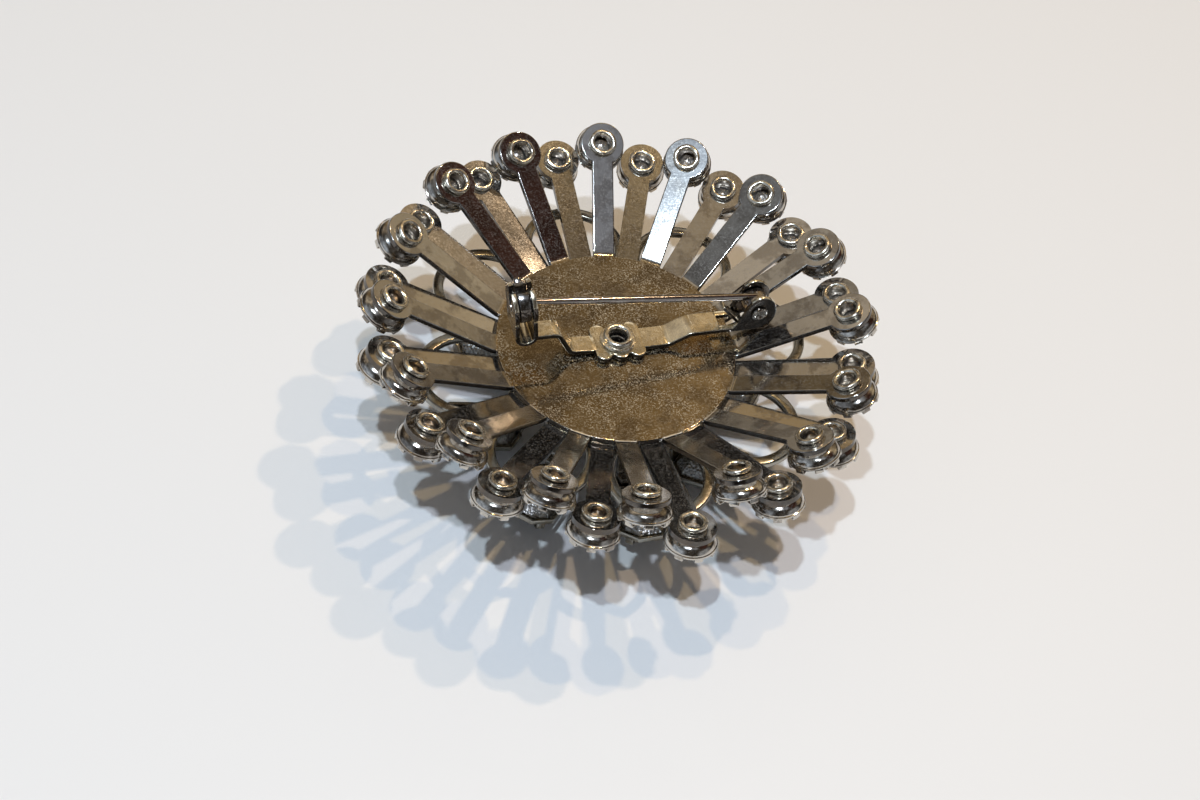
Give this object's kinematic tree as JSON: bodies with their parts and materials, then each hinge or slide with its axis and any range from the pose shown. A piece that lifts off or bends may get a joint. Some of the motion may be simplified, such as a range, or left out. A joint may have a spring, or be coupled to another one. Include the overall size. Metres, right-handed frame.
{
  "type": "crystal brooch",
  "caption": "Round brooch with riveted stars of stone-tipped arms, open loops, claw-set front crystals, and a bar pin with a hinged stem and a rolling safety catch.",
  "frame": {"origin": "middle of the centre stone's table, the flat face at the very front of the brooch", "axes": "+Z out of the brooch's back, so the brooch lies face down; the disc and the plates are square to Z; the bar pin runs 15.5 degrees round from +X, with its hinge at the +X end"},
  "size_m": [0.0541, 0.054, 0.0237],
  "materials": {
    "disc_metal": "mirror-polished and speckled with wear",
    "star_metal": "polished, dark plated",
    "dark_metal": "polished, dark plated",
    "cup_metal": "polished with fine wear",
    "bar_metal": "polished and worn",
    "stem_metal": "bright drawn wire",
    "crystal": "cut clear glass with a foiled back"
  },
  "bodies": {
    "brooch": {"back_plate": "disc_metal", "middle_plate": "star_metal", "loop_plate": "dark_metal", "claw_frame": "dark_metal", "upper_cups": "cup_metal", "lower_cups": "cup_metal", "centre_cup": "cup_metal", "centre_stone": "crystal", "pin_bar": "bar_metal", "hinge_rivet": "cup_metal", "upper_stone_01": "crystal", "upper_stone_02": "crystal", "upper_stone_03": "crystal", "upper_stone_04": "crystal", "upper_stone_05": "crystal", "upper_stone_06": "crystal", "upper_stone_07": "crystal", "upper_stone_08": "crystal", "upper_stone_09": "crystal", "upper_stone_10": "crystal", "upper_stone_11": "crystal", "upper_stone_12": "crystal", "upper_stone_13": "crystal", "upper_stone_14": "crystal", "upper_stone_15": "crystal", "upper_stone_16": "crystal", "lower_stone_01": "crystal", "lower_stone_02": "crystal", "lower_stone_03": "crystal", "lower_stone_04": "crystal", "lower_stone_05": "crystal", "lower_stone_06": "crystal", "lower_stone_07": "crystal", "lower_stone_08": "crystal", "lower_stone_09": "crystal", "lower_stone_10": "crystal", "lower_stone_11": "crystal", "lower_stone_12": "crystal", "lower_stone_13": "crystal", "lower_stone_14": "crystal", "lower_stone_15": "crystal", "lower_stone_16": "crystal", "petal_stone_1": "crystal", "petal_stone_2": "crystal", "petal_stone_3": "crystal", "petal_stone_4": "crystal", "petal_stone_5": "crystal", "petal_stone_6": "crystal", "petal_stone_7": "crystal", "petal_stone_8": "crystal"},
    "stem": {"pin_stem": "stem_metal"},
    "roller": {"catch_roller": "bar_metal"}
  },
  "joints": [
    {"name": "pin_hinge", "type": "hinge", "parent": "brooch", "child": "stem", "pos_m": [0.01388, 0.00385, 0.01725], "axis": [-0.2672, 0.9636, 0], "range_deg": [0, 80]},
    {"name": "catch_turn", "type": "hinge", "parent": "brooch", "child": "roller", "pos_m": [-0.01067, -0.00296, 0.02144], "axis": [0.9543, 0.2646, 0.1392], "range_deg": [0, 90]}
  ]
}
